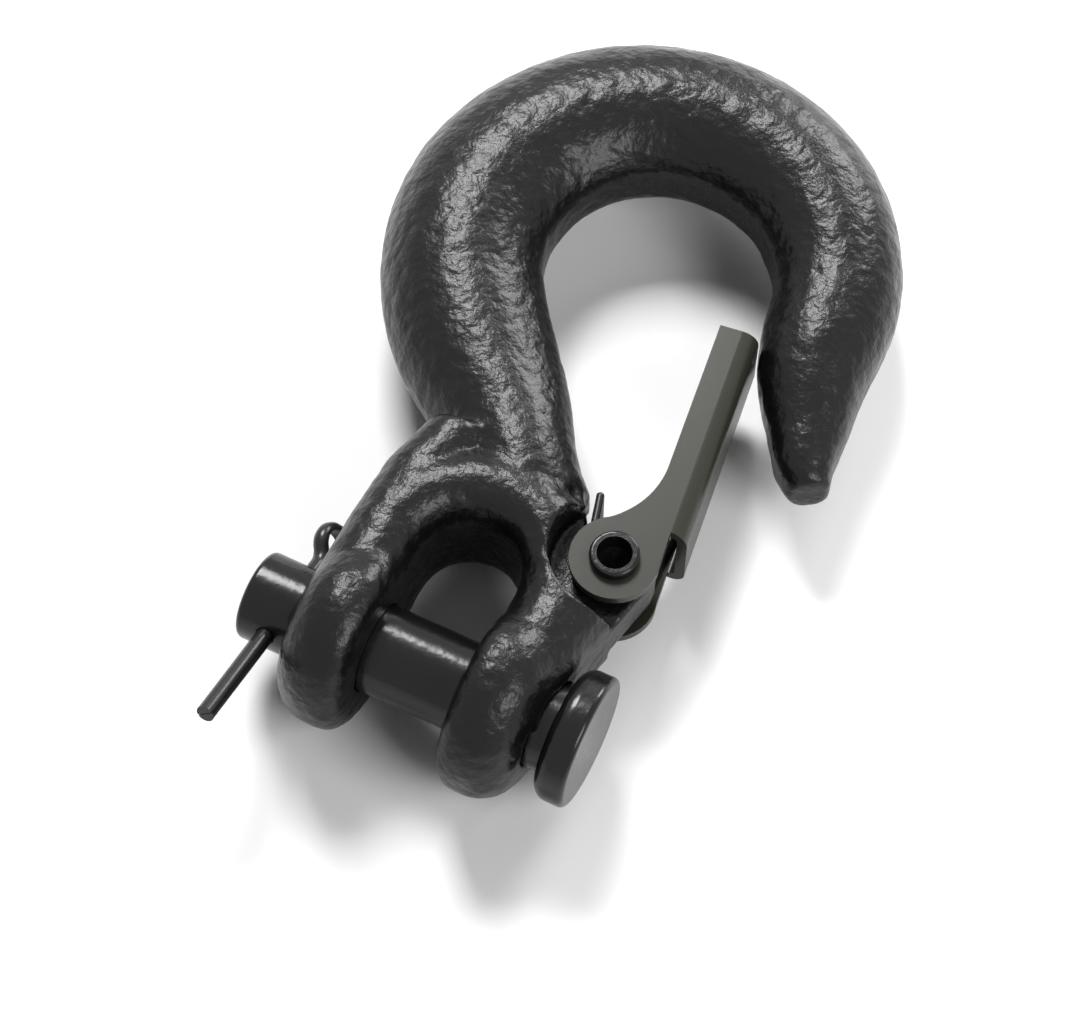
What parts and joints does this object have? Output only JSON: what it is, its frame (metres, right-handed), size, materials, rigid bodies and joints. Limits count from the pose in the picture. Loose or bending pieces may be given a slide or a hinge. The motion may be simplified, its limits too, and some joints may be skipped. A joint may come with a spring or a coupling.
{
  "type": "safety chain hook",
  "caption": "Forged clevis slip hook with a round clevis pin, a split pin and a spring-loaded sheet-metal safety latch across its throat.",
  "frame": {"origin": "middle of the clevis pin, between the two ears, on the load line", "axes": "+X along the clevis pin towards its head, +Y along the load line from the clevis to the bowl, +Z square to the plane of the hook"},
  "size_m": [0.0581, 0.0977, 0.02],
  "materials": {
    "forged_body": "gloss black powder coat over rough forged steel",
    "pin_steel": "gloss black coat over turned steel",
    "latch_sheet": "semi-gloss black coat over pressed sheet steel",
    "wire_steel": "black oxide spring and pin wire"
  },
  "bodies": {
    "hook": {"hook_body": "forged_body", "latch_spring": "wire_steel"},
    "pin": {"clevis_pin": "pin_steel"},
    "cotter": {"cotter_pin": "wire_steel"},
    "latch": {"latch": "latch_sheet", "latch_rivet": "pin_steel"}
  },
  "joints": [
    {"name": "latch_hinge", "type": "hinge", "parent": "hook", "child": "latch", "pos_m": [0.0129, 0.0175, 0], "axis": [0, 0, 1], "range_deg": [0, 36], "stiffness_Nm_per_rad": 0.02, "springref_deg": -45.84, "deforming": ["latch_spring"]},
    {"name": "pin_turn", "type": "hinge", "parent": "hook", "child": "pin", "pos_m": [0, 0, 0], "axis": [1, 0, 0], "continuous": true},
    {"name": "cotter_slide", "type": "slide", "parent": "pin", "child": "cotter", "axis": [0, 0.9397, -0.342], "range_m": [-0.001, 0.008]}
  ]
}
